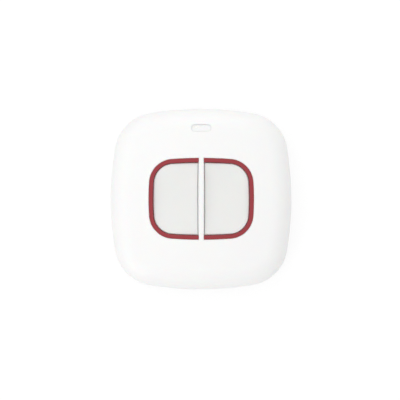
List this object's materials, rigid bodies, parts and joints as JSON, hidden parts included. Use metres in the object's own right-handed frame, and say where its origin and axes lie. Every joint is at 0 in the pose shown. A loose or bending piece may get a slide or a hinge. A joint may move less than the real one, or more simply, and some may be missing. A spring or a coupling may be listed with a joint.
{
  "type": "wireless panic button",
  "caption": "Small domed wall or desk alarm button: two side-by-side finger keys with a raised divider inside a coloured trim ring.",
  "frame": {"origin": "centre of the flat back face", "axes": "+Z out of the front, +X to the right and +Y up towards the indicator window, seen from the front"},
  "size_m": [0.06, 0.06, 0.017],
  "materials": {
    "case_white": "fine satin moulded ABS",
    "trim_red": "satin moulded plastic",
    "key_grey": "soft satin moulded plastic",
    "carrier_black": "moulded plastic",
    "light_pipe": "frosted clear plastic",
    "seal_rubber": "soft silicone",
    "board_green": "solder-masked laminate",
    "switch_black": "moulded plastic",
    "plunger_white": "moulded plastic",
    "lamp_white": "lamp with a cast lens",
    "chip_black": "moulded chip body",
    "can_steel": "plated sheet can",
    "capacitor_tan": "ceramic with soldered ends",
    "cell_steel": "nickel-plated can",
    "contact_metal": "plated spring strip",
    "screw_steel": "zinc-plated"
  },
  "bodies": {
    "housing": {"front_cover": "case_white", "trim_ring": "trim_red", "button_carrier": "carrier_black", "light_pipe": "light_pipe", "rear_cover": "case_white", "case_seal": "seal_rubber", "circuit_board": "board_green", "left_switch_body": "switch_black", "right_switch_body": "switch_black", "status_lamp": "lamp_white", "microcontroller": "chip_black", "radio_module": "can_steel", "crystal": "can_steel", "capacitors": "capacitor_tan", "antenna": "contact_metal", "coin_cell": "cell_steel", "battery_holder": "switch_black", "positive_clip": "contact_metal", "negative_spring": "contact_metal", "case_screws": "screw_steel", "board_screws": "screw_steel", "carrier_screws": "screw_steel"},
    "left_key": {"left_button": "key_grey"},
    "right_key": {"right_button": "key_grey"},
    "left_plunger": {"left_switch_plunger": "plunger_white"},
    "right_plunger": {"right_switch_plunger": "plunger_white"}
  },
  "joints": [
    {"name": "left_press", "type": "slide", "parent": "housing", "child": "left_key", "axis": [0, 0, -1], "range_m": [0, 0.0006], "stiffness_N_per_m": 800, "springref_m": -0.0012},
    {"name": "right_press", "type": "slide", "parent": "housing", "child": "right_key", "axis": [0, 0, -1], "range_m": [0, 0.0006], "stiffness_N_per_m": 800, "springref_m": -0.0012},
    {"name": "left_plunger_travel", "type": "slide", "parent": "housing", "child": "left_plunger", "axis": [0, 0, -1], "range_m": [0, 0.0006]},
    {"name": "right_plunger_travel", "type": "slide", "parent": "housing", "child": "right_plunger", "axis": [0, 0, -1], "range_m": [0, 0.0006]}
  ],
  "couplings": [
    {"joint": "left_plunger_travel", "follows": "left_press", "ratio": 1},
    {"joint": "right_plunger_travel", "follows": "right_press", "ratio": 1}
  ]
}
